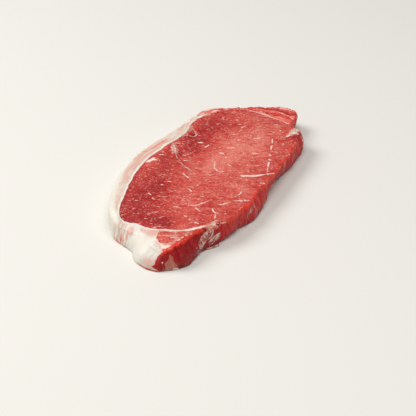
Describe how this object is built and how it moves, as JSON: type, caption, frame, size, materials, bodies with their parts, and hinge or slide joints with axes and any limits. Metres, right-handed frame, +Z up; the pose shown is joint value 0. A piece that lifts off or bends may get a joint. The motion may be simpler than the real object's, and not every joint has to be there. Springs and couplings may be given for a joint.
{
  "type": "raw striploin steak",
  "caption": "Raw striploin steak lying flat: a long lean eye muscle edged by a band of back fat, with a hard fat tail and a loose chine muscle at the far end.",
  "frame": {"origin": "middle of the steak's box, on the cut face that it lies on", "axes": "+X along the steak from the tail to the chine end, +Y towards the fat cap, +Z up through the upper cut face"},
  "size_m": [0.2366, 0.105, 0.0179],
  "materials": {
    "lean_meat": "moist satin, fine muscle grain with white fat flecks",
    "dark_lean_meat": "moist satin, darker outer muscle with thin pale membrane",
    "back_fat": "waxy satin, cream with a pink cast on the cut face",
    "hard_fat": "waxy matte, off-white"
  },
  "bodies": {
    "root": {"eye_muscle": "lean_meat", "chine_muscle": "lean_meat", "tail_muscle": "dark_lean_meat", "fat_cap": "back_fat", "tail_fat": "hard_fat"}
  },
  "joints": []
}
